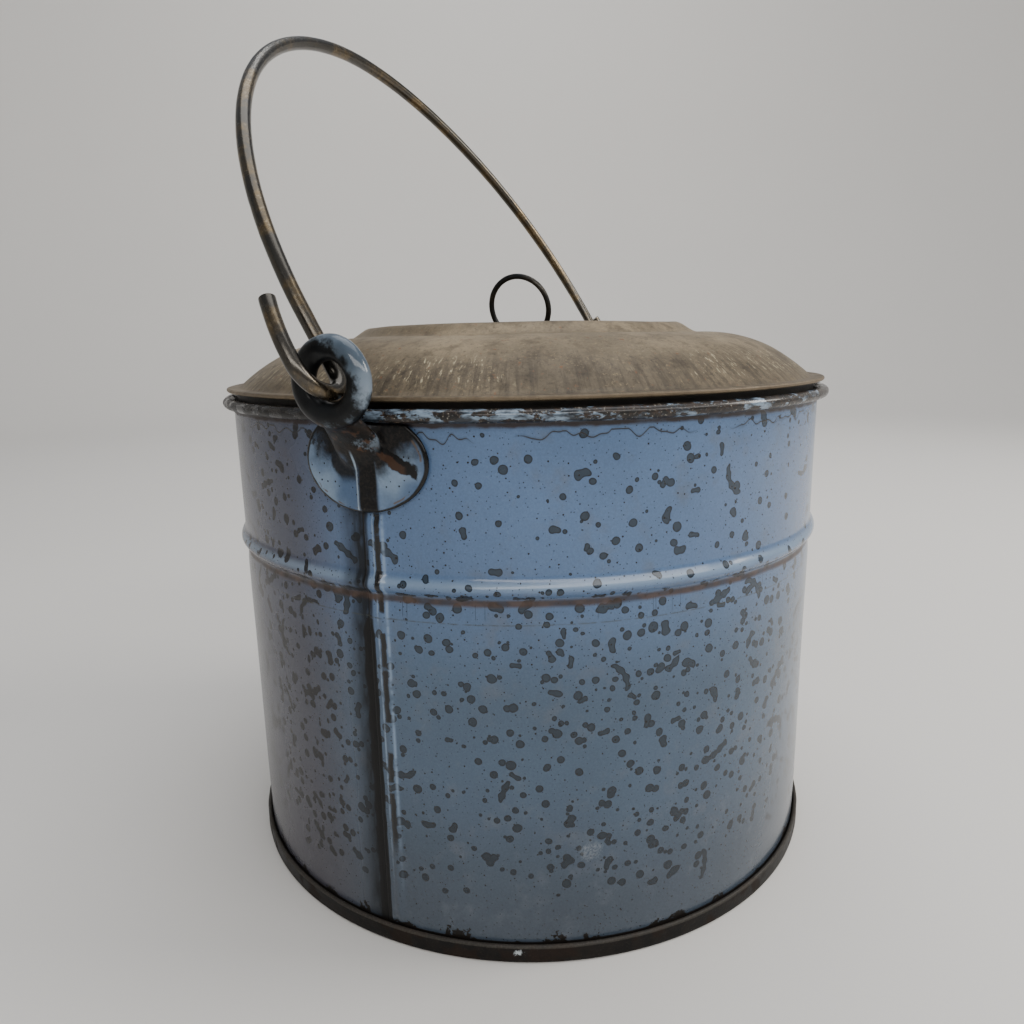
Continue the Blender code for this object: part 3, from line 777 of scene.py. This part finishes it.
def make_enamel():
    f = Finish("mottled_blue_enamel", IOR=1.36, Coat_Roughness=0.1)
    radius = f.radius()
    along = f.y.math("ARCTAN2", f.x) * (WALL_R / MM)
    right = f.right_of_seam()
    here = f.point(f.x, f.y, f.z)
    wall = f.point(along, f.z)
    ripple = f.node("ShaderNodeTexNoise", {"noise_dimensions": "2D"},
                    {"Vector": wall, "Scale": 0.3, "Detail": 1.0})
    shift = f.vector("MULTIPLY_ADD", ripple.output("Color"), (0.55, 0.55, 0), wall)
    up = f.z - BEAD_Z / MM
    swage = (up * (MM / BEAD_UPPER)).highest(up * (-MM / BEAD_LOWER)).lowest(1.0)
    swage = (swage * (math.pi / 2)).math("COSINE") ** 2 * (BEAD_RISE / MM)
    groove = f.z.fade((BEAD_Z - 0.2 * BEAD_LOWER) / MM, (BEAD_Z - 1.2 * BEAD_LOWER) / MM)
    groove = 0.38 * groove * f.z.fade(CREASE_Z / MM, CREASE_Z / MM + 6.2)
    outside = (radius - swage + groove).fade(WALL_R / MM - 0.5, WALL_R / MM - 0.3)
    roll = f.z.fade(RIM_BOTTOM / MM - 0.3, RIM_BOTTOM / MM + 0.2)

    spots = drops(f, shift, 8.5, 3.0, 1.1, keep=wall_share)
    spots = spots.highest(drops(f, shift, 7.6, 17.0, 0.98, keep=wall_share))
    spots = spots.highest(drops(f, shift, 10.0, 31.0, 0.98, 1.1, 0.25, 0.14, wall_share))
    spots = spots.highest(drops(f, shift, 15.0, 47.0, 0.9, 3.9, 0.2, 0.24, run_share))
    spots = spots.highest(drops(f, shift, 6.0, 59.0, 0.5, keep=wall_share))
    streaks = drops(f, f.vector("MULTIPLY", shift, (1.0, 0.6, 0)), 4.4, 23.0, 0.66, keep=0.56)
    side = right.between(-130, -13, 9) * f.z.between(19, 134, 6) * (1 - 0.3 * f.z.fade(94, 102))
    spots = spots.highest(streaks - 2 * (1 - side))
    spot = spots.fade(-0.08, 0.08)
    spot_edge = spot - spots.fade(0.12, 0.42)
    pits = dots(f, wall, 3.1, 71.0, 0.2, 0.42)
    pits = pits.highest(dots(f, wall, 2.3, 83.0, 0.26, 0.34) * spot)
    pits = pits.highest(0.8 * dots(f, wall, 1.5, 91.0, 0.14, 0.42, 0.04))

    cloud = f.grain(here, 0.035, 3.0)
    speck = f.grain(here, 1.8, 3.0, 0.8)
    # painted shade: the enamel darker towards the bottom
    base = f.blend(f.z.fade(112, 70), ENAMEL, ENAMEL_LOW_SHADED)
    base = f.blend(f.z.fade(60, 8), base, ENAMEL_FOOT_SHADED)
    base = f.blend(f.grain(here, 0.12, 3.0, 0.6).fade(0.5, 0.8) * 0.5, base, shade_of(92, 98, 108))
    # painted shade and painted purple-brown reflection, with some grime: left of the seam the enamel and
    # its spots are darker
    left_shade_and_grime = right.fade(-2, -30) * right.fade(-250, -140)
    base = f.blend(left_shade_and_grime * 0.7, base, shade_of(92, 88, 98))
    base = f.shade(base, (0.8 + 0.4 * cloud) * (1 - 0.4 * left_shade_and_grime))
    base = f.shade(base, 0.7 + 0.6 * speck)
    # painted highlight: the bead's upper flank made lighter
    bead_highlight = f.z.between(BEAD_Z / MM + 0.2, BEAD_Z / MM + 2.2, 0.9)
    base = f.blend(bead_highlight * (0.3 + 0.3 * cloud), base, shade_of(150, 170, 190))
    deep = f.blend(f.z.fade(96, 40) * 0.6, SPOT, SPOT_EDGE)
    deep = f.blend(left_shade_and_grime.fade(0.1, 0.6), deep, shade_of(13, 9, 9))
    colour = f.blend(spot * 0.93 * outside, base, deep)
    colour = f.blend(spot_edge * 0.8 * outside, colour, SPOT_EDGE)
    colour = f.blend(pits * outside, colour, BLACK)

    beside, up = right - SCUFF[0], f.z - SCUFF[1]
    halo = (beside * beside * 0.7 + up * up).math("SQRT")
    halo = (halo + (f.grain(wall, 0.5, 3.0) - 0.5) * 5).fade(3.6, 0.6) * speck.fade(0.36, 0.62) * outside
    colour = f.blend(halo * 0.3, colour, shade_of(168, 172, 176))

    # dirt and painted shadow in the fold of the side seam, enamel worn off its crest, and a pale strip
    # and painted highlight beside it
    rag = f.grain(f.point(right, f.z * 0.25), 0.5, 3.0)
    below = f.z.fade(95, 89)
    smudge = right.fade(-11, -3.0) * right.fade(0.6, -0.4) * (0.4 + 1.0 * rag)
    smudge = smudge.lowest(0.96) * outside
    below_ear = f.z.fade(122, 120)
    colour = f.blend(smudge, colour, SOOT)
    wander = f.grain(f.point(0, f.z), 0.12, 3.0) - 0.5
    # dirt and painted shadow: a black line in the seam's crevice
    fold = (right + 1.9 + 1.7 * below + wander * 2).fade(-0.3, 0.3)
    fold = fold * (right + 0.9 - 1.2 * below + wander).fade(0.2, -0.2) * outside * below_ear
    colour = f.blend(fold, colour, BLACK)
    dash = f.grain(f.point(right * 0.25, f.z), 0.09, 1.5).fade(0.42, 0.46) * f.z.fade(24, 34)
    wobble = f.grain(f.point(0, f.z), 0.35, 2.0) - 0.5
    crest = (right + wobble * 0.9).between(2.1, 3.5, 0.18) * dash * outside * below_ear
    broken = f.grain(f.point(right * 0.5, f.z), 0.16, 3.0, 0.6).fade(0.36, 0.58) * f.z.fade(8, 60)
    # a pale strip beside the step, and a painted highlight along the seam's fall to the right
    pale = right.between(1.3, 1.8, 0.2) + right.between(3.8, 4.4, 0.35)
    pale = pale * outside * below_ear * (1 - crest)
    colour = f.blend(pale * broken * 0.6, colour, shade_of(140, 160, 184))
    colour = f.blend(crest, colour, shade_of(13, 14, 16))

    # painted shade and brown reflection under the bead, chips on its underside, a dark line along the
    # crease below it, and hairline cracks
    ragged = f.grain(wall, 0.22, 3.0)
    swell = f.grain(wall, 0.05, 2.0)
    # painted shade and painted brown reflection in a band under the bead
    under = (f.z + swell * 1.2).between(BEAD_Z / MM - 3.6, BEAD_Z / MM - 1.8, 0.6)
    under = under * (0.1 + 0.8 * ragged + 0.8 * swell)
    under_bead_shade_colour = f.blend(ragged.fade(0.4, 0.65), REFLECTED_BROWN, shade_of(78, 62, 54))
    colour = f.blend(under.lowest(0.92) * outside, colour, under_bead_shade_colour)
    beside = (abs(f.z - (BEAD_Z / MM - 1.9)) * (1 / 2.2)).lowest(2.0)
    patches = (f.grain(f.point(along * 0.7, f.z * 1.1), 0.32, 3.0, 0.55) - 0.28 * beside).fade(0.5, 0.53)
    colour = f.blend(patches * outside * 0.9, colour, SOOT)
    crease = f.z.between(CREASE_Z / MM - 0.1, CREASE_Z / MM + 0.25, 0.14)
    crease = crease * f.grain(wall, 0.5, 2.0).fade(0.35, 0.6)
    colour = f.blend(crease * outside * 0.6, colour, shade_of(60, 62, 54))
    hairs = f.node("ShaderNodeTexVoronoi", {"voronoi_dimensions": "1D"}, {"W": along, "Scale": 0.3})
    hairs = (hairs * (1 / 0.3)).fade(0.12, 0.04)
    hairs = hairs * (f.z - 2 * ragged).between(CREASE_Z / MM + 0.2, BEAD_Z / MM - 5, 0.4)
    hairs = hairs * f.grain(f.point(along, 0), 0.06, 1.0).fade(0.52, 0.6)
    colour = f.blend(hairs * outside * 0.6, colour, SOOT)

    # glaze run and rust under the rim, chipped enamel on the roll
    drip = (f.grain(f.point(along, 0), 0.15, 1.0) - 0.42).highest(0.0)
    run = RIM_BOTTOM / MM - 2.2 - 12 * drip * (1 - drip) * (1 + 0.9 * right.between(12, 27, 3))
    scarce = f.grain(f.point(along, 4), 0.02, 0.0).fade(0.4, 0.46).highest(right.between(13, 27, 2))
    edge = abs(f.z - run).fade(0.24, 0.08) * scarce
    pool = f.z - run + 1.3 * f.grain(f.point(along, 9), 0.1).fade(0.5, 0.7)
    colour = f.blend(pool.between(-0.2, 0.4, 0.5) * scarce * outside * 0.4, colour, SPOT)
    colour = f.blend(edge * outside * 0.9, colour, shade_of(30, 27, 26))
    rusty = (f.z + ragged).between(RIM_BOTTOM / MM - 0.7, RIM_BOTTOM / MM + 0.7, 0.5)
    rusty = rusty * (0.5 + 0.9 * ragged)
    colour = f.blend(rusty.lowest(0.95) * outside, colour, shade_of(40, 26, 20))
    skin = f.grain(f.point(along * 0.6, f.z * 1.2, radius), 0.3, 4.0, 0.66)
    chipped = right.fade(60, 140) * right.fade(285, 220)
    # the roll darker left of the seam
    left_roll_darkening = right.fade(-4, -16) * right.fade(-280, -200)
    bare = (skin + 0.09 * chipped).fade(0.48, 0.53)
    glaze = f.grain(f.point(along * 0.4, f.z), 0.5, 3.0, 0.6).fade(0.38, 0.62)
    glaze = f.blend(glaze, shade_of(38, 43, 50), shade_of(128, 146, 164))
    worn = f.grain(wall, 0.8, 4.0, 0.7).fade(0.42, 0.64)
    worn = f.blend(worn, shade_of(13, 11, 10), shade_of(50, 36, 26))
    worn = f.blend(f.grain(wall, 1.6, 3.0).fade(0.6, 0.7) * 0.7, worn, shade_of(150, 148, 138))
    skin_colour = f.blend(bare, glaze, worn)
    left_roll_dark_colour = f.blend(bare, shade_of(30, 26, 22), shade_of(17, 15, 14))
    skin_colour = f.blend(left_roll_darkening * 0.95, skin_colour, left_roll_dark_colour)
    colour = f.blend(roll, colour, skin_colour)

    # chipped edge above the pan's band
    jag = f.grain(f.point(along, f.z * 0.6), 0.11, 2.0, 0.6).fade(0.5, 0.66)
    jag = jag * f.grain(wall, 0.7, 3.0, 0.6).fade(0.3, 0.7)
    jag = PAN_HIGH.z / MM + 0.15 + 4.2 * jag
    foot = (f.z - jag).fade(0.25, -0.25) * outside
    colour = f.blend(foot, colour, shade_of(20, 16, 13))

    # plain pale enamel inside
    inner = f.shade(f.blend(cloud, shade_of(150, 158, 162), shade_of(176, 180, 178)), 0.92 + 0.16 * speck)
    inner = f.blend(dots(f, wall, 6.0, 11.0, 0.35, 0.3), inner, shade_of(70, 76, 82))
    colour = f.blend((1 - outside) * (1 - roll), colour, inner)
    f.feed("Base Color", colour)

    # dirt, with the painted shade in the seam's fold and under the bead
    dirt_and_shade = (smudge + fold + foot + under * 0.6 * outside).lowest(1.0)
    f.feed("Coat Weight", 0.4 - 0.36 * dirt_and_shade.highest(0.8 * left_shade_and_grime))
    dull = dirt_and_shade * 0.3 + rusty * 0.3 * outside + roll * bare * 0.25
    f.feed("Roughness", (0.2 + 0.12 * cloud + dull).lowest(0.8))
    peel = f.grain(here, 0.55, 2.0)
    height = peel * 0.35 + speck * 0.05 - spot * 0.06 - bare * roll * 0.6
    f.emboss(height - crest * 0.3 - pits * 0.2 + edge * 0.3, 0.12 * MM)
    return f


def make_black_enamel():
    f = Finish("black_band_enamel", Specular_IOR_Level=0.16, Coat_Weight=0.06, Coat_Roughness=0.25)
    here = f.point(f.x, f.y, f.z)
    turn = f.y.math("ARCTAN2", f.x) * (WALL_R / MM)
    mottle = f.grain(here, 0.25, 4.0, 0.6)
    fine = f.grain(here, 1.9, 3.0)
    colour = f.blend(mottle.fade(0.35, 0.65), shade_of(8, 7, 7), shade_of(22, 18, 15))
    colour = f.blend(fine.fade(0.58, 0.7) * 0.4, colour, shade_of(52, 45, 38))
    rust = f.grain(here, 0.12, 4.0).fade(0.52, 0.62)
    outside = f.radius().fade(WALL_R / MM - 0.4, WALL_R / MM)
    colour = f.blend(rust * 0.4, colour, shade_of(44, 30, 21))
    chips = drops(f, f.point(turn, f.z * 1.3), 34.0, 5.0, 0.8, 1.0, 0.2, keep=0.14).fade(-0.2, 0.2)
    chips = chips * f.z.fade(0.4, 0.9) * outside
    front, up = f.right_of_seam() - BAND_CHIP[0], f.z - BAND_CHIP[1]
    front = (front * front * 0.5 + up * up).math("SQRT") + (mottle - 0.5) * 2 + (fine - 0.5) * 1.6
    chips = (chips * fine.fade(0.35, 0.5)).highest(front.fade(1.0, 0.5) * outside)
    colour = f.blend(chips * 0.85, colour, CHIP)
    # painted highlight: a pale broken line along the band's top edge
    band_edge_highlight = f.z.between(PAN_HIGH.z / MM - 0.7, PAN_HIGH.z / MM + 1, 0.15) * (0.2 + 0.9 * fine)
    colour = f.blend(band_edge_highlight * 0.5, colour, shade_of(92, 88, 82))
    f.feed("Base Color", colour)
    f.feed("Roughness", 0.34 + 0.25 * mottle + 0.2 * rust)
    f.emboss(mottle * 0.6 + fine * 0.3 - chips * 0.5, 0.15 * MM)
    return f


def make_ear_enamel():
    """Blue enamel on the plate, black and worn up the neck and round the eye."""
    f = Finish("worn_ear_enamel", IOR=1.25, Coat_Roughness=0.07)
    here = f.point(f.x, f.y, f.z)
    radius = f.radius()
    near = f.x.below(0)
    a = f.y * -1 * near + f.y * (1 - near)
    up = f.z - EAR_LOW.z / MM
    cloud = f.grain(here, 0.16, 4.0, 0.6)
    broad = f.grain(here, 0.075, 2.0, 0.5)
    fine = f.grain(here, 1.4, 3.0, 0.6)
    plate = f.blend(broad.fade(0.35, 0.65), shade_of(74, 96, 126), shade_of(122, 142, 164))
    plate = f.shade(plate, 0.85 + 0.3 * fine)
    pits = dots(f, f.point(a, f.z), 2.4, 9.0, 0.22, 0.4)
    plate = f.blend(pits, plate, BLACK)

    # dark wear running down from the neck, and over the pressed seam
    neck_x, neck_z = a - 1.0, up - 23.0
    reach = (neck_x * neck_x * 0.4 + neck_z * neck_z).math("SQRT") + (cloud - 0.5) * 12
    wear = reach.fade(15.5, 9.0)
    scuff = (f.grain(here, 0.2, 4.0, 0.7) + (up - 14) * 0.02 - abs(a + 5) * 0.008).fade(0.5, 0.58) * 0.9
    groove = a.between(-0.6, 4.6, 0.6) * near * (0.7 + 0.7 * f.grain(f.point(a, f.z * 0.3), 0.5, 3.0))
    spoke = (a + 6.5 + (up - 14) * 0.5 + (cloud - 0.5) * 5).between(-3.0, 2.6, 0.9)
    spoke = spoke * up.between(8, 20, 1.5)
    dark = wear.highest(groove).highest(spoke * 0.95).highest(scuff).lowest(1.0)
    bared = f.blend(fine.fade(0.4, 0.7), shade_of(12, 13, 15), shade_of(34, 30, 27))
    colour = f.blend(dark, plate, bared)
    glint = a.between(-1.6, -1.0, 0.25) * near * (0.4 + 1.0 * fine) * up.fade(20, 16)
    colour = f.blend(glint.lowest(0.9), colour, shade_of(156, 174, 192))
    slant = up - 13.4 + (a - 8.5) * 0.5 + (cloud - 0.5) * 5.5
    chip = slant.between(-1.9, 1.9, 0.25) * (a + (cloud - 0.5) * 6).between(5.6, 14.6, 0.35) * near
    bronze = (slant + (fine - 0.5) * 1.5).between(-1.9, 0.5, 0.35) * a.fade(12.6, 11.0)
    colour = f.blend(chip, colour, f.blend(bronze, BLACK, shade_of(58, 40, 28)))

    # brown and black round the plate's edge
    half_w, half_h = EAR_WIDTH / MM / 2, EAR_HEIGHT / MM / 2
    oval = ((a / half_w) ** 2.0 + ((up - half_h) / half_h) ** 2.0).math("SQRT")
    flat = radius.fade(97.6, 97.0)
    rim = (oval + (cloud - 0.5) * 0.06).fade(0.94, 0.965) * flat
    colour = f.blend(rim, colour, shade_of(11, 10, 9))
    tan = (oval + (cloud - 0.5) * 0.12).between(0.9, 0.93, 0.012) * flat
    tan = tan * f.grain(here, 0.25, 3.0).fade(0.54, 0.6)
    colour = f.blend(tan * 0.8, colour, shade_of(92, 76, 60))

    # the neck and the eye: black, with a painted highlight in blue-white on the eye's upper outside
    bar = f.z.fade(EYE_Z / MM - 10.5, EYE_Z / MM - 8.0)
    top = f.z - EYE_Z / MM
    out = (f.y * f.y + top * top).math("SQRT")
    # painted highlight: blue-white on the eye's upper outside
    eye_highlight = (out - 8.0) * 0.1 + top * 0.03 + a * 0.035 + (cloud - 0.5) * 1.5 + (fine - 0.5) * 0.25
    eye_highlight = eye_highlight.fade(0.2, 0.5)
    glaze = f.blend(broad.fade(0.35, 0.65), shade_of(70, 84, 98), shade_of(128, 142, 156))
    black = f.blend(cloud.fade(0.3, 0.7), shade_of(8, 9, 10), shade_of(20, 22, 24))
    eye = f.blend(eye_highlight * 0.85, black, glaze)
    neck = f.blend(cloud.fade(0.42, 0.62), shade_of(8, 7, 7), shade_of(34, 26, 20))
    neck = f.blend((broad + (fine - 0.5) * 0.3).fade(0.52, 0.62) * 0.8, neck, shade_of(104, 116, 128))
    neck = f.blend(f.grain(here, 0.5, 3.0).fade(0.58, 0.66) * 0.6, neck, shade_of(84, 58, 38))
    off_plate = radius.fade(97.8, 99.2)
    colour = f.blend(off_plate, colour, neck)
    colour = f.blend(bar, colour, eye)
    f.feed("Base Color", colour)
    f.feed("Coat Weight", 0.4 - 0.3 * (bar + dark + off_plate).lowest(1.0) + 0.5 * bar * eye_highlight)
    f.feed("Roughness", (0.16 + 0.12 * fine + dark * 0.15 + chip * 0.4).lowest(0.85))
    f.emboss(cloud * 0.6 + fine * 0.2 - chip * 0.5 + eye_highlight * 0.1, 0.25 * MM)
    return f


def make_steel(name, dark, warm, bright, roughness, marks):
    """Drawn wire gone dark, with brown and bare places, the bright ones partly a painted highlight; marks
    is the share of specks and scratches.
    """
    f = Finish(name)
    here = f.point(f.x, f.y, f.z)
    cloud = f.grain(here, 0.09, 4.0, 0.65)
    fine = f.grain(here, 1.1, 4.0, 0.7)
    colour = f.blend(cloud.fade(0.46, 0.66), dark, warm)
    # bare bright places, partly a painted highlight
    colour = f.blend((fine * 0.6 + cloud * 0.5).fade(0.6, 0.7) * marks, colour, bright)
    grime = f.grain(here, 0.5, 4.0, 0.7).fade(0.54, 0.66) * marks
    colour = f.blend(grime * 0.75, colour, shade_of(22, 19, 16))
    f.feed("Base Color", colour)
    f.feed("Metallic", 0.95 - 0.5 * grime)
    f.feed("Roughness", roughness + 0.12 * cloud + 0.12 * marks * fine + 0.2 * grime)
    f.emboss(fine * 0.6 + f.grain(here, 0.4, 2.0) - grime * 0.4, 0.1 * MM * marks)
    return f


def make_tin():
    """Tinplate tarnished brown-grey, streaked outwards near its edge, with bright and rusty specks."""
    f = Finish("tarnished_tin", Specular_IOR_Level=0.4)
    here = f.point(f.x, f.y, f.z)
    radius = f.radius()
    turn = f.y.math("ARCTAN2", f.x)
    cloud = f.grain(here, 0.03, 4.0, 0.6)
    mid = f.grain(here, 0.16, 4.0, 0.65)
    fine = f.grain(here, 1.0, 4.0, 0.8)
    colour = f.blend(cloud.fade(0.35, 0.65), shade_of(116, 103, 82), shade_of(150, 134, 108))
    colour = f.blend(mid.fade(0.48, 0.7) * 0.65, colour, shade_of(84, 73, 57))
    coarse = f.grain(here, 0.45, 4.0, 0.7)
    colour = f.shade(colour, 0.2 + 0.9 * fine + 0.65 * coarse)
    out = f.point(radius * 0.13, turn * 90)
    streak = f.grain(out, 0.5, 3.0, 0.6)
    brim_shade_and_streaks = radius.fade(74, 89) * f.z.above(FLANGE_TOP / MM - 0.6)
    # painted shade: the steep outer part of the dome darker
    colour = f.shade(colour, 1 - 0.42 * brim_shade_and_streaks)
    colour = f.blend(streak.fade(0.46, 0.6) * brim_shade_and_streaks * 0.4, colour, shade_of(44, 37, 30))
    scratch = f.grain(f.point(radius * 0.35, turn * 90), 1.5, 2.0, 0.6).fade(0.56, 0.66)
    bright = scratch * radius.between(81, 90, 2.0) * cloud.fade(0.42, 0.54) * streak.fade(0.58, 0.46)
    colour = f.blend(bright, colour, shade_of(190, 178, 148))
    dust = f.grain(here, 0.8, 4.0, 0.8).fade(0.56, 0.64)
    colour = f.blend(dust * 0.5, colour, shade_of(46, 38, 30))
    rubbed = f.grain(here, 0.9, 4.0, 0.75).fade(0.58, 0.68) * f.grain(here, 0.05, 2.0).fade(0.42, 0.6)
    colour = f.blend(rubbed * 0.55, colour, shade_of(160, 142, 110))
    rust = f.grain(here, 0.5, 4.0, 0.7).fade(0.63, 0.7)
    colour = f.blend(rust * 0.7, colour, shade_of(116, 74, 48))
    # painted highlight: a lighter line along the hem's outer edge
    edge = f.z.between(HEM_Z / MM, HEM_Z / MM + 1.0, 0.3) * radius.fade(92.5, 93.5)
    colour = f.blend(edge * 0.6, colour, shade_of(110, 96, 78))
    shaded = f.z.fade(HEM_Z / MM + 0.1, HEM_Z / MM - 0.6)
    colour = f.blend(shaded, colour, shade_of(24, 20, 16))
    f.feed("Base Color", colour)
    f.feed("Metallic", (0.4 + 0.4 * bright + 0.2 * rubbed - 0.35 * rust).highest(0.0))
    f.feed("Roughness", (0.42 + 0.2 * mid - 0.1 * bright + 0.2 * rust).lowest(0.85))
    f.emboss(mid * 0.5 + fine * 0.35 + streak * brim_shade_and_streaks * 0.6, 0.16 * MM)
    return f


# ---------------------------------------------------------------- stage

def make_stage():
    f = Finish("pale_floor", Roughness=0.75)
    f.feed("Base Color", f.shade((0.72, 0.70, 0.67, 1), 0.985 + 0.03 * f.grain(f.spot, 3.0)))
    profile = line((0, -FLOOR_GAP), (1.5, -FLOOR_GAP), 6)
    profile += arc((1.5, 0.8 - FLOOR_GAP), 0.8, -math.pi / 2, 0, 16) + [(2.3, 1.35)]
    bm = turned(profile, 96, closed=False)
    bmesh.ops.reverse_faces(bm, faces=bm.faces)
    mesh = mesh_of("floor", bm)
    mesh.shade_smooth()
    mesh.materials.append(f.material)
    new_object("floor", mesh)


def add_light(name, place, target, width, height, power, tint=(1, 1, 1)):
    lamp = bpy.data.lights.new(name, "AREA")
    lamp.shape = "RECTANGLE"
    lamp.size = width
    lamp.size_y = height
    lamp.energy = power
    lamp.color = tint
    obj = new_object(name, lamp)
    aim = Vector(target) - Vector(place)
    obj.rotation_mode = "QUATERNION"
    obj.location = place
    obj.rotation_quaternion = aim.to_track_quat("-Z", "Y")
    obj.visible_camera = False


def make_lights():
    world = bpy.data.worlds.new("studio")
    world.use_nodes = True
    world.node_tree.nodes["Background"].inputs["Color"].default_value = (0.9, 0.94, 1.0, 1)
    world.node_tree.nodes["Background"].inputs["Strength"].default_value = 0.3
    bpy.context.scene.world = world
    middle = (0, 0, 0.12)
    add_light("strip_light", (-0.70, -0.835, 0.81), middle, 2.2, 0.28, 12, (1.0, 0.98, 0.95))
    add_light("ceiling_light", (0.15, -0.15, 1.4), middle, 1.2, 1.2, 11, (0.97, 0.98, 1.0))
    add_light("side_light", (0.5, -1.0, 0.75), middle, 0.45, 0.45, 7, (1.0, 0.96, 0.9))
    add_light("backdrop_light", (0.9, 0.42, 1.7), (2.2, 1.0, 0.5), 0.6, 0.6, 13)


def make_camera():
    camera = bpy.data.cameras.new("camera")
    camera.lens = CAMERA_LENS
    camera.clip_start = 0.01
    obj = new_object("camera", camera)
    turn = Matrix.Rotation(CAMERA_HEADING - math.pi / 2, 4, "Z")
    turn = turn @ Matrix.Rotation(math.pi / 2 + CAMERA_TILT, 4, "X")
    turn = turn @ Matrix.Rotation(CAMERA_ROLL, 4, "Z")
    obj.matrix_world = Matrix.Translation(CAMERA_PLACE) @ turn
    bpy.context.scene.camera = obj


def main():
    make_camera()
    make_stage()
    make_lights()
    enamel = make_enamel()
    black = make_black_enamel()
    ear_enamel = make_ear_enamel()
    bail_steel = make_steel("browned_bail_steel", shade_of(80, 77, 72), shade_of(108, 94, 72),
                            shade_of(176, 166, 148), 0.17, 0.22)
    ring_steel = make_steel("blackened_ring_steel", shade_of(44, 45, 46), shade_of(56, 53, 48),
                            shade_of(98, 96, 92), 0.28, 0.6)
    tin = make_tin()
    make_wall(enamel)
    make_bottom(black)
    make_ear("ear_left_enamelled", -1, ear_enamel, True)
    make_ear("ear_right_enamelled", 1, ear_enamel, False)
    make_bail(bail_steel)
    make_lid(tin)
    make_collar(tin)
    make_ring(ring_steel)
    make_strap(tin)
    rim_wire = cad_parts["rim_wire"]
    rim_wire.data.materials.clear()
    rim_wire.data.materials.append(bail_steel.material)


main()
